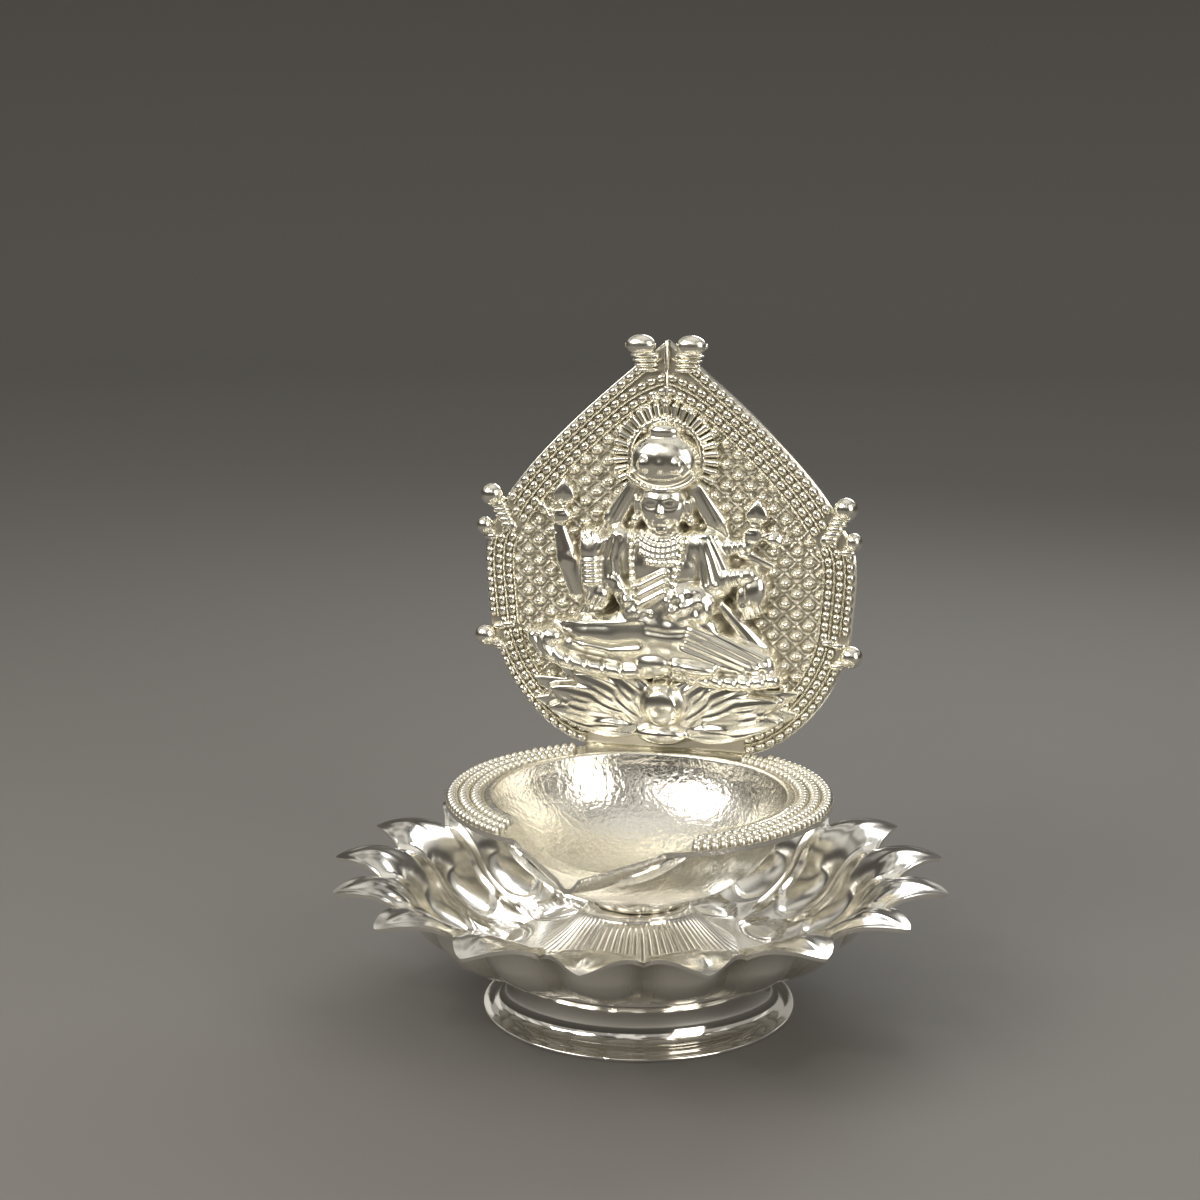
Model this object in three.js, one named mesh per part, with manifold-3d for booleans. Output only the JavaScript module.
// Silver oil lamp: a lotus dish on a ring foot carries a small fluted pedestal, and an oil cup with a
// wick spout and an upright goddess plaque is clamped on the pedestal by a stud and a nut under the dish.
// Millimetres, +Z up, origin at the middle of the foot's underside, spout towards -Y, plaque towards +Y.
import * as THREE from "three";
import { mergeVertices } from "three/addons/utils/BufferGeometryUtils.js";
import Module from "manifold-3d";

const wasm = await Module();
wasm.setup();
const { Manifold, Mesh: SolidMesh } = wasm;

const v2 = (x, y) => new THREE.Vector2(x, y);
const v3 = (x, y, z) => new THREE.Vector3(x, y, z);

// Sheet and general fits
const sheet = 0.8; // silver sheet of the dish, cup, foot and pedestal
const gap = 0.3; // clearance between pieces that only nearly touch
const rowGap = 0.1; // clearance between neighbouring rows of wire
const boreGap = 0.4; // clearance round the stud where it passes through
const edge = 0.3; // softened corners
const turnSides = 34; // facets round a turned piece

// Foot ring
const footRadius = 24.4;
const footLip = 0.7; // height of the flange's outer edge
const footNeckBase = 22.2; // where the neck rises from the flange
const footNeck = 19; // what the neck draws in to
const footSeat = 20.8; // outer radius of the foot's top, under the dish
const footThroat = 15.7; // opening in the foot's top
const footHeight = 8;

// Lotus dish
const petals = 17;
const floorRadius = 21.3; // flat floor, measured on the underside
const floorRun = 5; // the direction in which the wall leaves the floor
const floorRise = 2.4;
const wallRadius = 33.3; // where the wall turns into the flare
const wallHeight = 16.3;
const wallRun = 1.7; // the wall's direction there
const wallRise = 4.2;
const tipRadius = 47;
const tipHeight = 21.2;
const curlRun = 8.2; // direction in which a petal comes down to its tip
const curlRise = 4;
const valleyShare = 0.6; // how far along the flare the notch between two petals lies
const cupping = 1.7; // depth of the trough in the middle of a wall panel
const floorCupping = 0.1; // share of that depth at the foot of the wall
const droop = 2.2; // how far a petal's sides come down from its middle
const tipPower = 1.4; // sharpness of a petal's point
const petalSteps = 6; // facets across one petal
const wallRings = 2;
const flareRings = 3;

// Pedestal
const pedestalRadius = 15.5;
const pedestalKnee = 10.6; // where the skirt turns up into the neck
const pedestalKneeHeight = 3.6; // above the dish's floor
const pedestalTop = 16.4;
const pedestalNeck = 8;
const pedestalFlutes = 20;
const fluteDepth = 0.7;

// Stud, collar, washer and nut
const studRadius = 2;
const studEnd = 1.2; // height of the stud's lower end above the table
const socketDepth = 1.6; // how far the stud enters the collar
const collarHeight = 2.2;
const collarWaist = 6.4;
const washerRadius = 5;
const washerThickness = 0.8;
const nutAcross = 7; // across flats
const nutHeight = 2.4;

// Oil cup
const rimTop = 33.4;
const mouthRadius = 22.4;
const rimWidth = 7.1; // lip and flat rim, which holds the rows of beads
const lipWidth = 1.6; // rolled lip round the mouth
const lipRise = 0.5;
const bowlRun = 7.4; // how far the bowl's bottom runs out before it turns up
const bowlDrop = 8; // how far the bowl's wall drops before it turns in
const bowlLean = 1.4; // how far the wall leans in over that drop
const lobeHalf = 13.5; // the rim's straight lobe behind the plaque
const lobeMargin = 1; // what shows of the lobe behind the bracket

// Wick spout
const spoutHalf = 13.7; // half-width at its root, on the rim
const spoutRoot = 24; // how far in front of the axis it begins to narrow
const spoutTip = 38;
const spoutFloor = 26.6; // underside of the channel where it leaves the bowl
const spoutTipTop = 32;
const spoutTipHalf = 1.4;
const spoutTipDepth = 2.2;
const spoutEntry = 6; // how far inside the mouth the channel starts
const spoutSide = 1; // upright part of the channel's sides
const spoutWaist = 0.54; // half-width midway to the tip, as a share of the root's

// Beaded wires, half-round, on the rim and round the plaque
const beadRows = 3;
const beadPitch = 1.7;
const beadNeck = 0.62; // width between two beads, as a share of a bead's
const wireWidth = 1.6; // of the plaque's wires; the rim's take what room the rim has

// Plaque, as (across, up) from the middle of its lower edge
const plaqueShift = -2.6; // the plaque stands a little to the left of the cup's middle
const plateThickness = 1.1;
const plaqueHeight = 67;
const plaqueBase = 13; // half-width of the flat edge that stands on the rim
const waistHalf = 30.4;
const waistHeight = 22;
const shoulderHalf = 28.6;
const shoulderHeight = 38;
const bracketHalf = 11;
const bracketHeight = 10;
const bracketThickness = 0.8;
const sideStarts = [0.96, 0.9, 0.9]; // where each side row begins on the lower curve, outer row first
const sideEnds = [0.74, 1, 0.88]; // how far up the side curve each row runs
const topStarts = [0.15, 0.08, 0.08]; // where each top row begins on the top curve
const topEnds = [0.93, 0.948, 0.925];
const fingerRadius = 0.9; // of the bar that carries a knob
const apexKnob = { across: 1.7, up: 2.3, sizes: [2.5, 1.55, 1.55] }; // from the wire's end, half-sizes
const shoulderKnobs = [
  { across: 1, up: 1.8, sizes: [1.3, 1.4, 1.3] },
  { across: 2.6, up: 5, sizes: [1.7, 1.7, 1.6] },
];
const lowerKnob = { across: 2.3, up: 1.8, sizes: [1.6, 1.6, 1.6] };

// Goddess and halo. They are drawn in units of their own and sized to fit the field inside the border.
const haloHeight = 48.4; // centre of the halo and the crown
const haloInner = 6.4;
const haloOuter = 8.6;
const haloThickness = 1;
const haloBeads = 21;
const armReach = 19.9;
const crownMargin = 10; // field above the halo, in millimetres
const sideMargin = 3.5; // field beside the hands, in millimetres

const dishFloor = footHeight + sheet;
const holeRadius = studRadius + boreGap;
const collarRadius = pedestalNeck - 2 * edge;
const cupSeat = collarRadius - 2 * edge; // the cup's flat underside
const cupUnder = pedestalTop + collarHeight;
const rimRadius = mouthRadius + rimWidth;
const rimLane = (rimWidth - lipWidth) / beadRows; // width of rim for one row of beads
const wirePitch = wireWidth + rowGap;
const plaqueFront = (mouthRadius + lipWidth + rimRadius - plateThickness) / 2;
const unit = Math.min(
  (plaqueHeight - crownMargin) / (haloHeight + haloOuter),
  (shoulderHalf - beadRows * wirePitch - rowGap - sideMargin) / armReach,
);

const silver = (name, roughness, color = 0xe9e4d4) =>
  new THREE.MeshStandardMaterial({ name, color, roughness, metalness: 1 });
const bright = silver("bright_silver", 0.14);
const relief = silver("relief_silver", 0.2);
const grained = silver("grained_silver", 0.34);
const hardware = silver("hardware", 0.4, 0xc9c4b4);

// A closed three.js geometry as a solid for joining and cutting.
function solid(geometry) {
  const bare = geometry.index ? geometry.toNonIndexed() : geometry.clone();
  for (const name of Object.keys(bare.attributes)) {
    if (name !== "position") bare.deleteAttribute(name);
  }
  const merged = mergeVertices(bare, 1e-4);
  return new Manifold(
    new SolidMesh({
      numProp: 3,
      vertProperties: new Float32Array(merged.attributes.position.array),
      triVerts: new Uint32Array(merged.index.array),
    }),
  );
}

function toMesh(name, body, material) {
  const made = body.getMesh();
  const geometry = new THREE.BufferGeometry();
  const position = new Float32Array(made.numVert * 3);
  for (let i = 0; i < made.numVert; i++) {
    position.set(made.vertProperties.subarray(i * made.numProp, i * made.numProp + 3), i * 3);
  }
  geometry.setAttribute("position", new THREE.BufferAttribute(position, 3));
  geometry.setIndex(new THREE.BufferAttribute(new Uint32Array(made.triVerts), 1));
  geometry.computeVertexNormals();
  const mesh = new THREE.Mesh(geometry, material);
  mesh.name = name;
  return mesh;
}

// Closed surface through rings of equally many points. Each ring is a loop of Vector3, and the loops
// run so that the faces point outwards; closed joins the last ring to the first, else both ends are capped.
function loft(rings, closed = false) {
  const n = rings[0].length;
  const position = [];
  const put = (a, b, c) => position.push(a.x, a.y, a.z, b.x, b.y, b.z, c.x, c.y, c.z);
  const count = closed ? rings.length : rings.length - 1;
  for (let i = 0; i < count; i++) {
    const low = rings[i];
    const high = rings[(i + 1) % rings.length];
    for (let j = 0; j < n; j++) {
      const k = (j + 1) % n;
      put(low[j], low[k], high[k]);
      put(low[j], high[k], high[j]);
    }
  }
  if (!closed) {
    const last = rings[rings.length - 1];
    for (let j = 1; j < n - 1; j++) {
      put(rings[0][0], rings[0][j + 1], rings[0][j]);
      put(last[0], last[j], last[j + 1]);
    }
  }
  const geometry = new THREE.BufferGeometry();
  geometry.setAttribute("position", new THREE.Float32BufferAttribute(position, 3));
  return geometry;
}

// A turned piece: the profile is a list of (radius, height) that runs anticlockwise, as seen with the
// axis on the left. It starts and ends on the axis, or closes on itself.
function turned(profile, sides = turnSides) {
  const geometry = new THREE.LatheGeometry(profile, sides);
  geometry.rotateX(Math.PI / 2);
  return solid(geometry);
}

function box(low, high) {
  const size = high.clone().sub(low);
  const geometry = new THREE.BoxGeometry(size.x, size.y, size.z);
  geometry.translate((low.x + high.x) / 2, (low.y + high.y) / 2, (low.z + high.z) / 2);
  return solid(geometry);
}

function cylinder(radius, low, high, sides = 24) {
  const geometry = new THREE.CylinderGeometry(radius, radius, high - low, sides);
  geometry.rotateX(Math.PI / 2);
  geometry.translate(0, 0, (low + high) / 2);
  return solid(geometry);
}

const bezier = (a, b, c, d, steps) => new THREE.CubicBezierCurve(a, b, c, d).getPoints(steps);

// Foot ring: a flange, a waisted neck and an inturned seat under the dish.
function footRing() {
  const seatUnder = footHeight - sheet;
  const neck = (inset, low) =>
    bezier(
      v2(footNeckBase - inset, low),
      v2(footNeck - inset, footLip),
      v2(footNeck - inset, seatUnder),
      v2(footSeat - inset, seatUnder),
      4,
    );
  const outer = [
    v2(footRadius - edge, 0),
    v2(footRadius, edge),
    v2(footRadius, footLip),
    ...neck(0, footLip + edge),
    v2(footSeat, footHeight),
  ];
  const inner = [v2(footThroat, footHeight), v2(footThroat, seatUnder), ...neck(sheet, 0).reverse()];
  return turned([...outer, ...inner, outer[0]]);
}

// The dish's underside in section, from the edge of its floor to the petals' tips.
const wallTop = v2(wallRadius, wallHeight);
const wall = new THREE.CubicBezierCurve(
  v2(floorRadius, footHeight),
  v2(floorRadius + floorRun, footHeight + floorRise),
  v2(wallRadius - wallRun, wallHeight - wallRise),
  wallTop,
);
const flare = new THREE.CubicBezierCurve(
  wallTop,
  v2(wallRadius + wallRun, wallHeight + wallRise),
  v2(tipRadius - curlRun, tipHeight + curlRise),
  v2(tipRadius, tipHeight),
);

// A point at t of that section, moved out from it by out.
function dishPoint(curve, t, out, angle) {
  const at = curve.getPoint(t);
  const along = curve.getTangent(t);
  const r = at.x + along.y * out;
  return v3(r * Math.cos(angle), r * Math.sin(angle), at.y - along.x * out);
}

// A wall panel is a trough, and its petal a crowned leaf: how far the sheet stands out at share s of
// the wall or of the petal.
const crest = (q) => Math.cos((Math.PI / 2) * q);
const panel = (s, q) => cupping * (floorCupping + (1 - floorCupping) * s) * crest(q);
const leaf = (s, q) => cupping * (1 - s) * crest(q) + droop * s * (1 - crest(q));

function dishRing(place, lift) {
  const ring = [];
  const steps = petals * petalSteps;
  for (let i = 0; i < steps; i++) {
    const angle = (i / steps) * 2 * Math.PI;
    const across = ((i + petalSteps / 2) % petalSteps) / (petalSteps / 2) - 1;
    ring.push(place(Math.abs(across), lift, angle));
  }
  return ring;
}

const level = (radius, height) => (q, lift, angle) =>
  v3(radius * Math.cos(angle), radius * Math.sin(angle), height);

// How far out along the flare the dish reaches at q: the tip in a petal's middle, the notch at its side.
const reach = (q) => valleyShare + (1 - valleyShare) * (1 - Math.pow(q, tipPower));

function lotusDish() {
  const under = [];
  const upper = [];
  for (let i = 0; i < wallRings; i++) {
    const s = i / wallRings;
    const place = (q, lift, angle) => dishPoint(wall, s, panel(s, q) - lift, angle);
    under.push(dishRing(place, 0));
    upper.push(dishRing(place, sheet));
  }
  for (let i = 0; i <= flareRings; i++) {
    const s = i / flareRings;
    const place = (q, lift, angle) => dishPoint(flare, s * reach(q), leaf(s, q) - lift, angle);
    under.push(dishRing(place, 0));
    upper.push(dishRing(place, sheet));
  }
  under[0] = dishRing(level(floorRadius, footHeight), 0);
  upper[0] = dishRing(level(floorRadius, dishFloor), 0);
  const rings = [
    dishRing(level(holeRadius, footHeight), 0),
    ...under,
    ...upper.reverse(),
    dishRing(level(holeRadius, dishFloor), 0),
  ];
  return solid(loft(rings, true));
}

// Pedestal: a hollow fluted cone that stands on the dish's floor and carries the collar on its flat top.
function pedestal() {
  const sides = pedestalFlutes * 2;
  const ring = (radius, height, depth) => {
    const points = [];
    for (let i = 0; i < sides; i++) {
      const angle = (i / sides) * 2 * Math.PI;
      const r = radius - (i % 2) * depth;
      points.push(v3(r * Math.cos(angle), r * Math.sin(angle), height));
    }
    return points;
  };
  const capUnder = pedestalTop - sheet;
  return solid(
    loft(
      [
        ring(pedestalRadius - sheet - fluteDepth, dishFloor, 0),
        ring(pedestalRadius, dishFloor, fluteDepth),
        ring(pedestalRadius, dishFloor + edge, fluteDepth),
        ring(pedestalKnee, dishFloor + pedestalKneeHeight, fluteDepth * 0.8),
        ring(pedestalNeck, capUnder, fluteDepth * 0.4),
        ring(pedestalNeck, pedestalTop, 0),
        ring(holeRadius, pedestalTop, 0),
        ring(holeRadius, capUnder, 0),
        ring(pedestalNeck - 1.5 * sheet, capUnder, 0),
        ring(pedestalKnee - 2 * sheet, dishFloor + pedestalKneeHeight - sheet, 0),
      ],
      true,
    ),
  );
}

// Collar under the cup, with a blind socket for the stud.
function cupCollar() {
  const socketTop = pedestalTop + socketDepth;
  const socketRadius = studRadius + gap;
  return turned(
    [
      v2(socketRadius, pedestalTop),
      v2(collarRadius, pedestalTop),
      v2(collarRadius, pedestalTop + 2 * edge),
      v2(collarWaist, pedestalTop + collarHeight / 2),
      v2(collarRadius, cupUnder - edge),
      v2(collarRadius - edge, cupUnder),
      v2(0, cupUnder),
      v2(0, socketTop),
      v2(socketRadius, socketTop),
      v2(socketRadius, pedestalTop),
    ],
    20,
  );
}

// Outer and inner faces of the cup's bowl, from its foot to its mouth.
function bowlFace(lift) {
  const foot = v2(cupSeat - lift / 2, cupUnder + lift);
  const mouth = v2(mouthRadius + sheet - lift, rimTop - sheet);
  const low = v2(foot.x + bowlRun, foot.y + edge);
  const high = v2(mouth.x - bowlLean, mouth.y - bowlDrop);
  return bezier(foot, low, high, mouth, 5);
}

// A trough that narrows to the spout's tip, its section given by its half-width, bottom and top.
function trough(inset, rise, lidOver) {
  const section = (front, half, floor, top) => {
    const flat = half * 0.6;
    return [
      [-half, top],
      [-half, top - spoutSide],
      [-flat, floor],
      [flat, floor],
      [half, top - spoutSide],
      [half, top],
    ].map(([x, z]) => v3(x, -front, z));
  };
  const middle = (spoutRoot + spoutTip) / 2;
  const top = rimTop + lidOver;
  const floor = spoutFloor + rise;
  const tipFloor = spoutTipTop - spoutTipDepth + rise;
  return solid(
    loft([
      section(mouthRadius - spoutEntry, spoutHalf - inset, floor, top),
      section(spoutRoot, spoutHalf - inset, floor + edge, top),
      section(middle, spoutHalf * spoutWaist - inset, (floor + tipFloor) / 2, top),
      section(spoutTip - inset, spoutTipHalf - inset / 2, tipFloor, spoutTipTop + lidOver),
    ]),
  );
}

// Oil cup: bowl, rolled lip, flat rim, the rim's straight lobe behind the plaque and the open wick spout.
function oilCup() {
  const rimUnder = rimTop - sheet;
  const openAbove = 2 * lipRise; // what is cut out of the bowl and the spout ends above the lip
  const outside = [
    v2(0, cupUnder),
    ...bowlFace(0),
    v2(rimRadius - edge, rimUnder),
    v2(rimRadius, rimUnder + edge),
    v2(rimRadius, rimTop),
    v2(mouthRadius + lipWidth, rimTop),
    v2(mouthRadius + lipWidth * 0.75, rimTop + lipRise),
    v2(mouthRadius + lipWidth * 0.25, rimTop + lipRise),
    v2(mouthRadius, rimTop),
    v2(0, rimTop),
  ];
  const inside = [
    v2(0, cupUnder + sheet),
    ...bowlFace(sheet),
    v2(mouthRadius, rimTop + openAbove),
    v2(0, rimTop + openAbove),
  ];
  const lobeBack = plaqueFront + plateThickness + bracketThickness + lobeMargin;
  const lobe = box(
    v3(plaqueShift - lobeHalf, mouthRadius, rimUnder),
    v3(plaqueShift + lobeHalf, lobeBack, rimTop),
  );
  return turned(outside)
    .add(lobe)
    .add(trough(0, 0, 0))
    .subtract(turned(inside))
    .subtract(trough(sheet, sheet, openAbove));
}

// A half-round wire with a flat back, along a row of points on a flat face. up is the direction off that
// face. A beaded wire swells and narrows once a bead; a plain one keeps its width.
function wire(points, up, width, beaded, grow = 0) {
  const section = [
    [-1, 0],
    [-0.65, 0.9],
    [0.65, 0.9],
    [1, 0],
  ];
  const lengths = [0];
  for (let i = 1; i < points.length; i++) {
    lengths.push(lengths[i - 1] + points[i].distanceTo(points[i - 1]));
  }
  const total = lengths[lengths.length - 1];
  const beads = Math.max(2, Math.round(total / beadPitch));
  const steps = beaded ? beads * 2 : Math.ceil(beads / 2);
  const rings = [];
  let i = 1;
  for (let step = 0; step <= steps; step++) {
    const s = (step / steps) * total;
    while (i < points.length - 1 && lengths[i] < s) i++;
    const t = (s - lengths[i - 1]) / (lengths[i] - lengths[i - 1]);
    const centre = points[i - 1].clone().lerp(points[i], t);
    const before = points[Math.max(0, i - 2)];
    const after = points[Math.min(points.length - 1, i + 1)];
    const side = after.clone().sub(before).cross(up).normalize();
    const r = (width / 2) * (beaded && step % 2 === 0 ? beadNeck : 1) + grow;
    const at = ([x, y]) => centre.clone().addScaledVector(side, x * r).addScaledVector(up, y * r);
    rings.push(section.map(at));
  }
  return solid(loft(rings));
}

// A row of beads on the cup's rim, from the spout's root round one side to the plaque. It ends clear of
// the corner where the lobe leaves the round rim, and in front of the plaque's own wires, where it is
// wide enough to meet them.
function rimWire(row, side) {
  const radius = rimRadius - (row + 0.5) * rimLane;
  const start = Math.asin((spoutHalf + 1) / radius) - Math.PI / 2;
  const lobeEnd = Math.acos((lobeHalf + rimLane / 2 + side * plaqueShift) / radius);
  const plaqueEnd = Math.asin(Math.min(1, (plaqueFront - wireWidth - gap) / radius));
  const end = Math.min(lobeEnd, plaqueEnd);
  const points = [];
  const steps = 24;
  for (let i = 0; i <= steps; i++) {
    const angle = start + ((end - start) * i) / steps;
    points.push(v3(side * radius * Math.cos(angle), radius * Math.sin(angle), rimTop));
  }
  return wire(points, v3(0, 0, 1), rimLane - rowGap, row === 0);
}

// The plaque's half outline from the middle of its foot to its apex, in three curves. A curve's handles
// are given as shares of its way across and up.
function outlineCurve(from, to, first, second) {
  const handle = ([across, up]) => v2(from.x + (to.x - from.x) * across, from.y + (to.y - from.y) * up);
  return new THREE.CubicBezierCurve(from, handle(first), handle(second), to);
}
const waist = v2(waistHalf, waistHeight);
const shoulder = v2(shoulderHalf, shoulderHeight);
const apex = v2(0, plaqueHeight);
const lowerCurve = outlineCurve(v2(plaqueBase, 0), waist, [0.4, 0.02], [0.98, 0.5]);
const sideCurve = outlineCurve(waist, shoulder, [-0.22, 0.38], [-0.9, 0.75]);
const topCurve = outlineCurve(shoulder, apex, [0.09, 0.22], [0.5, 0.62]);

// A point of the plaque's plane in the lamp's frame, standing proud of the plaque's face by proud.
const onPlaque = (across, up, proud = 0) => v3(plaqueShift + across, plaqueFront - proud, rimTop + up);

// A flat shape in the plaque's plane, with the given thickness, its back at depth behind the face.
function plaqueSlab(shape, thickness, depth) {
  const geometry = new THREE.ExtrudeGeometry(shape, {
    depth: thickness,
    bevelEnabled: false,
    curveSegments: 6,
  });
  geometry.rotateX(Math.PI / 2);
  geometry.translate(plaqueShift, plaqueFront + depth, rimTop);
  return solid(geometry);
}

function plaquePlate() {
  const half = [
    ...lowerCurve.getPoints(8),
    ...sideCurve.getPoints(5).slice(1),
    ...topCurve.getPoints(9).slice(1),
  ];
  const mirrored = half.slice(0, -1).reverse().map((p) => v2(-p.x, p.y));
  return plaqueSlab(new THREE.Shape([...half, ...mirrored]), plateThickness, plateThickness);
}

// A point of the outline, moved in from the edge by inset.
function insetPoint(curve, t, inset) {
  const along = curve.getTangent(t);
  return curve.getPoint(t).add(v2(-along.y, along.x).multiplyScalar(inset));
}

// Points (across, up) along a stretch of the outline. side is -1 or 1.
function stretch(curve, from, to, inset, side, steps = 10) {
  const points = [];
  for (let i = 0; i <= steps; i++) {
    const p = insetPoint(curve, from + ((to - from) * i) / steps, inset);
    points.push(v2(side * p.x, p.y));
  }
  return points;
}

const rowInset = (row) => wireWidth / 2 + rowGap + row * wirePitch;

// One of the border's wires along points (across, up), beaded if it is the outer row.
function borderWire(path, row, grow = 0) {
  const points = path.map((p) => onPlaque(p.x, p.y));
  return wire(points, v3(0, -1, 0), wireWidth, row === 0, grow);
}

// What lies in front of the plaque's face, so that reliefs have flat backs.
function facing() {
  const reach = plaqueHeight;
  return box(onPlaque(-reach, -reach, reach), onPlaque(reach, 2 * reach, 0));
}

function ellipsoid(across, up, proud, sizes, turn = 0) {
  const small = 2.6;
  const segments = Math.max(...sizes) < small ? 6 : 8;
  const geometry = new THREE.SphereGeometry(1, segments, 4);
  geometry.scale(sizes[0], sizes[2], sizes[1]);
  geometry.rotateY(-turn);
  const at = onPlaque(across, up, proud);
  geometry.translate(at.x, at.y, at.z);
  return solid(geometry);
}

// A limb: a tapered round bar with round ends between two points given as [across, up, proud, radius].
function limb(from, to) {
  const start = onPlaque(from[0], from[1], from[2]);
  const span = onPlaque(to[0], to[1], to[2]).sub(start);
  const length = span.length();
  const [r, s] = [from[3], to[3]];
  const profile = [
    v2(0, -r * 0.8),
    v2(r * 0.8, -r * 0.5),
    v2(r, 0),
    v2(s, length),
    v2(s * 0.8, length + s * 0.5),
    v2(0, length + s * 0.8),
  ];
  const geometry = new THREE.LatheGeometry(profile, 6);
  geometry.applyQuaternion(new THREE.Quaternion().setFromUnitVectors(v3(0, 1, 0), span.normalize()));
  geometry.translate(start.x, start.y, start.z);
  return solid(geometry);
}

const join = (bodies) => Manifold.union(bodies);

// A wire with a knob beyond its end, on a bar that goes from that end to the knob.
function knobbed(body, end, side, { across, up, sizes }) {
  const at = end.clone().add(v2(side * across, up));
  const proud = sizes[2] * 0.65;
  const bar = limb([end.x, end.y, 0, fingerRadius], [at.x, at.y, proud / 2, fingerRadius]);
  return join([body, bar, ellipsoid(at.x, at.y, proud, sizes)]).intersect(facing());
}

// Border stretches. The outer rows end in knobs at the shoulders, the lower sides and the apex.
function topWire(row, side) {
  const path = stretch(topCurve, topStarts[row], topEnds[row], rowInset(row), side);
  const body = borderWire(path, row);
  return row > 0 ? body : knobbed(body, path.at(-1), side, apexKnob);
}

function sideWire(row, side) {
  const low = stretch(lowerCurve, sideStarts[row], 1, rowInset(row), side, 3);
  const high = stretch(sideCurve, 0, sideEnds[row], rowInset(row), side);
  const path = [...low, ...high.slice(1)];
  const body = borderWire(path, row);
  return row > 1 ? body : knobbed(body, path.at(-1), side, shoulderKnobs[row]);
}

function bottomWire(row, side, grow = 0) {
  const path = stretch(lowerCurve, 0.02, 0.8, rowInset(row), side);
  const body = borderWire(path, row, grow);
  return row > 0 || grow > 0 ? body : knobbed(body, path.at(-1), side, lowerKnob);
}

// Halo: a flat arc round the crown, open at the bottom, whose outer edge is a row of radial beads.
function halo() {
  const from = -0.2 * Math.PI;
  const to = 1.2 * Math.PI;
  const notch = (haloInner + haloOuter * 3) / 4;
  const outer = [];
  const inner = [];
  const at = (radius, angle) =>
    v2(radius * Math.cos(angle), haloHeight + radius * Math.sin(angle)).multiplyScalar(unit);
  const step = (to - from) / haloBeads;
  for (let i = 0; i < haloBeads; i++) {
    const angle = from + i * step;
    outer.push(at(notch, angle));
    outer.push(at(haloOuter, angle + step * 0.3));
    outer.push(at(haloOuter, angle + step * 0.7));
    inner.push(at(haloInner, angle + step * 0.5));
  }
  outer.push(at(notch, to));
  return plaqueSlab(new THREE.Shape([...outer, ...inner.reverse()]), haloThickness * unit, 0);
}

// The seated goddess, with every radius larger by grow where a clearance is cut for it. A blob is given
// as across, up, proud and its half-sizes; a bar's ends are each given as across, up, proud and radius.
function figure(grow) {
  const scaled = (values) => values.map((value) => value * unit);
  const blob = (across, up, proud, sizes) =>
    ellipsoid(...scaled([across, up, proud]), scaled(sizes).map((size) => size + grow));
  const end = (values) => {
    const [across, up, proud, radius] = scaled(values);
    return [across, up, proud, radius + grow];
  };
  const bar = (from, to) => limb(end(from), end(to));
  const face = haloHeight - 7.9;
  const head = [
    blob(0, face, 2.6, [3.9, 4.6, 3]),
    blob(0, face - 0.3, 5.3, [0.7, 1.1, 1]),
    blob(0, haloHeight - 0.2, 2, [5.5, 4.9, 3.6]),
    blob(0, haloHeight + 4.6, 1.6, [2.2, 2, 2]),
    blob(-4, face + 0.3, 1.4, [1.4, 4, 1.6]),
    blob(4, face + 0.3, 1.4, [1.4, 4, 1.6]),
    bar([0, face - 3.9, 2, 2.2], [0, 34, 2, 2.6]),
  ];
  const trunk = [
    bar([-6.2, 33.8, 1.8, 2.7], [6.2, 33.8, 1.8, 2.7]),
    blob(0, 29.6, 2.2, [5.6, 6, 3.2]),
    blob(0, 22.6, 2.6, [5.2, 5.4, 3.4]),
    blob(-2.5, 31, 4, [2.2, 2.1, 1.8]),
    blob(2.5, 31, 4, [2.2, 2.1, 1.8]),
  ];
  const rearArms = [
    bar([-7.6, 34, 1.2, 2.1], [-12.2, 30.6, 1.2, 1.8]),
    bar([-12.6, 31, 1.2, 1.6], [-16, 37.6, 1.4, 1.2]),
    blob(-16.4, 38.8, 1.6, [1.8, 1.9, 1.5]),
    blob(-16.9, 41.6, 1.4, [1.3, 2.8, 1.3]),
    bar([7.6, 34, 1.2, 2.1], [12, 30.6, 1.2, 1.8]),
    bar([12.4, 31, 1.2, 1.6], [14.2, 36, 1.4, 1.2]),
    blob(14.6, 37, 1.6, [1.8, 1.8, 1.5]),
    blob(15.4, 39.9, 1.4, [1.2, 2.7, 1.3]),
    blob(armReach - 2.5, 36.3, 1.4, [2.4, 1.5, 1.3]),
  ];
  const frontArms = [
    bar([-8.2, 33, 2.6, 2.2], [-11.4, 27.6, 3, 1.9]),
    bar([-11.4, 27.6, 3.4, 1.8], [-10.6, 31.6, 4.6, 1.4]),
    blob(-10.4, 33.8, 5, [1.7, 2.3, 1.1]),
    bar([8.2, 33, 2.6, 2.2], [11.8, 28, 3, 1.9]),
    bar([11.8, 28, 3, 1.8], [13.6, 25.6, 3.6, 1.4]),
    blob(13.9, 24, 3.8, [1.6, 2.4, 1.1]),
    bar([11.4, 24, 1, 1], [16.6, 17.6, 1, 1.5]),
  ];
  const legs = [
    bar([-2.5, 20.2, 3, 3.8], [-14.6, 18.6, 3, 3]),
    bar([-14.6, 18.2, 3.4, 2.7], [1.5, 15.4, 4.2, 2]),
    bar([3, 20, 3, 3.8], [17.4, 15.4, 3, 3]),
    bar([17.4, 15, 3, 2.6], [4, 14.4, 3.8, 2]),
    blob(3.4, 15, 5.4, [3.4, 1.5, 1.5]),
    blob(-4.6, 15.2, 4.4, [3, 1.5, 1.5]),
  ];
  return join([...head, ...trunk, ...rearArms, ...frontArms, ...legs]).intersect(facing());
}

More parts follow.
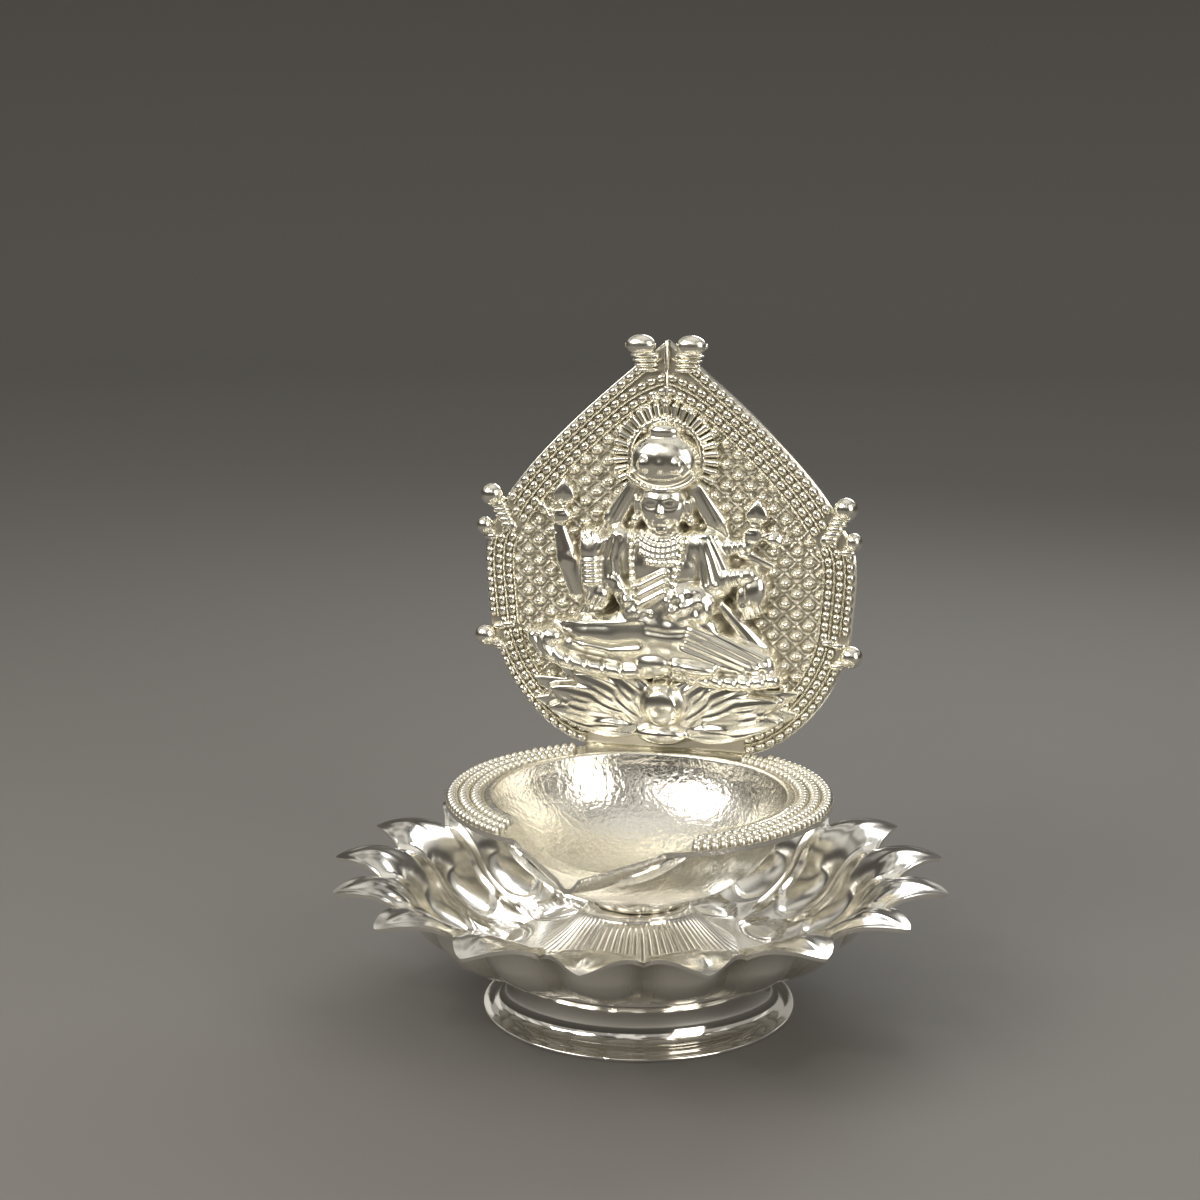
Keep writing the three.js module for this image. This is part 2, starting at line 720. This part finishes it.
// Lotus throne: a cushion with petals that fan out from its foot, up to the border's inner row.
function lotusThrone() {
  const scaled = (values) => values.map((value) => value * unit);
  const foot = v2(...scaled([0, 2.6]));
  const tips = [
    ...[0.1, 0.32, 0.5, 0.66].map((t) => insetPoint(lowerCurve, t, rowInset(beadRows))),
    ...[[16, 15.4], [10, 14.6], [4.8, 13.6]].map((at) => v2(...scaled(at))),
  ];
  const bodies = [
    ellipsoid(...scaled([0, 9.6, 0]), scaled([17.5, 5.2, 3.4])),
    ellipsoid(...scaled([0, 7.6, 2.6]), scaled([4.2, 4.6, 3.2])),
    ellipsoid(...scaled([0, 3.2, 1]), scaled([6.5, 2.2, 3.6])),
  ];
  for (const tip of tips) {
    for (const side of [-1, 1]) {
      const run = v2(side * tip.x, tip.y).sub(foot);
      const middle = run.clone().multiplyScalar(0.64).add(foot);
      const sizes = [run.length() * 0.36, ...scaled([2, 3.4])];
      bodies.push(ellipsoid(middle.x, middle.y, 0.8 * unit, sizes, Math.atan2(run.y, run.x)));
    }
  }
  const wires = [];
  for (let row = 0; row < beadRows; row++) {
    wires.push(bottomWire(row, -1, gap), bottomWire(row, 1, gap));
  }
  return join(bodies).intersect(facing()).subtract(join([figure(gap), ...wires]));
}

// Tongue behind the plaque, standing on the rim's lobe.
function plaqueBracket() {
  const shape = new THREE.Shape();
  const [half, height] = [bracketHalf, bracketHeight];
  shape.moveTo(-half, 0);
  shape.lineTo(half, 0);
  shape.bezierCurveTo(half * 0.8, height * 0.4, half * 0.5, height, 0, height);
  shape.bezierCurveTo(-half * 0.5, height, -half * 0.8, height * 0.4, -half, 0);
  return plaqueSlab(shape, bracketThickness, plateThickness + bracketThickness);
}

function retainingStud() {
  return cylinder(studRadius, studEnd, pedestalTop + socketDepth, 20);
}

function ringPlate(outline, thickness, bottom) {
  const shape = new THREE.Shape(outline);
  const bore = new THREE.Path();
  bore.absarc(0, 0, studRadius + gap, 0, 2 * Math.PI, true);
  shape.holes.push(bore);
  const geometry = new THREE.ExtrudeGeometry(shape, {
    depth: thickness,
    bevelEnabled: false,
    curveSegments: 9,
  });
  geometry.translate(0, 0, bottom);
  return solid(geometry);
}

function polygon(radius, sides) {
  const points = [];
  for (let i = 0; i < sides; i++) {
    const angle = (i / sides) * 2 * Math.PI;
    points.push(v2(radius * Math.cos(angle), radius * Math.sin(angle)));
  }
  return points;
}

function washer() {
  return ringPlate(polygon(washerRadius, 18), washerThickness, footHeight - washerThickness);
}

function clampNut() {
  const corner = nutAcross / Math.sqrt(3);
  return ringPlate(polygon(corner, 6), nutHeight, footHeight - washerThickness - nutHeight);
}

const lamp = new THREE.Group();
const add = (name, body, material) => lamp.add(toMesh(name, body, material));

add("foot_ring", footRing(), bright);
add("lotus_dish", lotusDish(), bright);
add("pedestal", pedestal(), bright);
add("cup_collar", cupCollar(), bright);
add("oil_cup", oilCup(), grained);
add("plaque_plate", plaquePlate(), relief);
add("plaque_bracket", plaqueBracket(), bright);
add("halo", halo(), relief);
add("goddess_figure", figure(0), relief);
add("lotus_throne", lotusThrone(), relief);
const sides = [
  { word: "left", sign: -1 },
  { word: "right", sign: 1 },
];
for (const { word, sign } of sides) {
  for (let row = 0; row < beadRows; row++) {
    add(`rim_beads_${word}_${row + 1}`, rimWire(row, sign), relief);
    add(`border_top_${word}_${row + 1}`, topWire(row, sign), relief);
    add(`border_side_${word}_${row + 1}`, sideWire(row, sign), relief);
    add(`border_bottom_${word}_${row + 1}`, bottomWire(row, sign), relief);
  }
}
add("retaining_stud", retainingStud(), hardware);
add("washer", washer(), hardware);
add("clamp_nut", clampNut(), hardware);

export default lamp;
